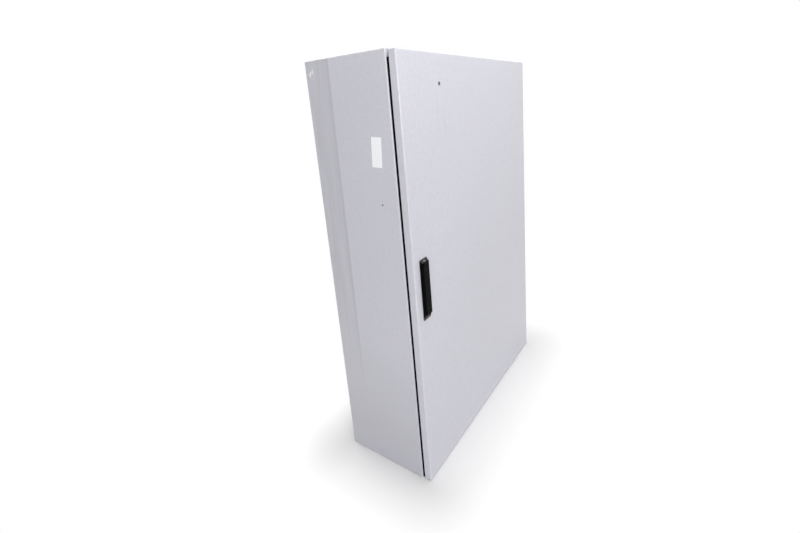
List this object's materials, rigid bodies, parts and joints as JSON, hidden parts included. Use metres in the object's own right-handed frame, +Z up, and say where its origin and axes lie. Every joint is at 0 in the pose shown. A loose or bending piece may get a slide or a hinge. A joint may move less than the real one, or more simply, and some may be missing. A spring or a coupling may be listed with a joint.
{
  "type": "electrical wall cabinet",
  "caption": "Tall shallow sheet-steel wall cabinet with one hinged door, a slim lift-and-turn handle driving locking rods, and a mounting plate inside.",
  "frame": {"origin": "middle of the footprint, on the plane of the bottom face", "axes": "+Z up along the height, +Y to the back (the wall), +X to the right seen from the front (the hinge side)"},
  "size_m": [0.8, 0.3105, 1.2],
  "materials": {
    "grey_coat": "fine-textured light grey powder coat, semi-gloss",
    "zinc_sheet": "zinc-plated sheet",
    "plated_steel": "bright zinc plate",
    "black_handle": "satin black",
    "foam": "closed-cell foam",
    "dark_plug": "blackened metal"
  },
  "bodies": {
    "cabinet": {"enclosure_body": "grey_coat", "rim_seal": "foam", "mounting_plate": "zinc_sheet", "plate_studs": "plated_steel", "plate_spacers": "plated_steel", "plate_nuts": "plated_steel", "gland_plate": "grey_coat", "gland_gasket": "foam", "gland_studs": "plated_steel", "gland_nuts": "plated_steel", "body_earth_stud": "plated_steel", "body_earth_nut": "plated_steel", "hinge_body_studs": "plated_steel", "hinge_body_nuts": "plated_steel", "hinge_bottom_body_leaf": "plated_steel", "hinge_middle_body_leaf": "plated_steel", "hinge_top_body_leaf": "plated_steel", "hinge_bottom_pin": "plated_steel", "hinge_middle_pin": "plated_steel", "hinge_top_pin": "plated_steel"},
    "door": {"door_panel": "grey_coat", "door_gasket": "foam", "door_rail_left": "zinc_sheet", "door_rail_right": "zinc_sheet", "hinge_door_studs": "plated_steel", "hinge_door_nuts": "plated_steel", "hinge_bottom_door_leaf": "plated_steel", "hinge_middle_door_leaf": "plated_steel", "hinge_top_door_leaf": "plated_steel", "door_earth_stud": "plated_steel", "door_earth_nut": "plated_steel", "handle_base": "black_handle", "clamp_plate": "zinc_sheet", "clamp_screws": "plated_steel", "upper_rod_end_guide": "zinc_sheet", "upper_rod_near_guide": "zinc_sheet", "lower_rod_end_guide": "zinc_sheet", "lower_rod_near_guide": "zinc_sheet"},
    "turning_spindle": {"spindle": "plated_steel", "lock_cam": "plated_steel", "cam_pins": "plated_steel", "cam_bolt": "plated_steel"},
    "lever": {"handle_lever": "black_handle", "lever_pin": "plated_steel"},
    "top_bolt": {"upper_rod": "plated_steel"},
    "bottom_bolt": {"lower_rod": "plated_steel"},
    "key_plug": {"lock_plug": "dark_plug"}
  },
  "joints": [
    {"name": "door_hinge", "type": "hinge", "parent": "cabinet", "child": "door", "pos_m": [0.3925, -0.1315, 0.6], "axis": [0, 0, 1], "range_deg": [0, 120]},
    {"name": "handle_turn", "type": "hinge", "parent": "door", "child": "turning_spindle", "pos_m": [-0.3545, -0.13, 0.6625], "axis": [0, -1, 0], "range_deg": [0, 90]},
    {"name": "lever_lift", "type": "hinge", "parent": "turning_spindle", "child": "lever", "pos_m": [-0.3545, -0.1573, 0.6715], "axis": [-1, 0, 0], "range_deg": [0, 35]},
    {"name": "upper_rod_slide", "type": "slide", "parent": "door", "child": "top_bolt", "axis": [0, 0, 1], "range_m": [0, 0.0227]},
    {"name": "lower_rod_slide", "type": "slide", "parent": "door", "child": "bottom_bolt", "axis": [0, 0, -1], "range_m": [0, 0.0227]},
    {"name": "key_turn", "type": "hinge", "parent": "lever", "child": "key_plug", "pos_m": [-0.3545, -0.157, 0.6515], "axis": [0, -1, 0], "range_deg": [0, 90]}
  ],
  "couplings": [
    {"joint": "upper_rod_slide", "follows": "handle_turn", "m_per_rad": 0.014405},
    {"joint": "lower_rod_slide", "follows": "handle_turn", "m_per_rad": 0.014405}
  ]
}
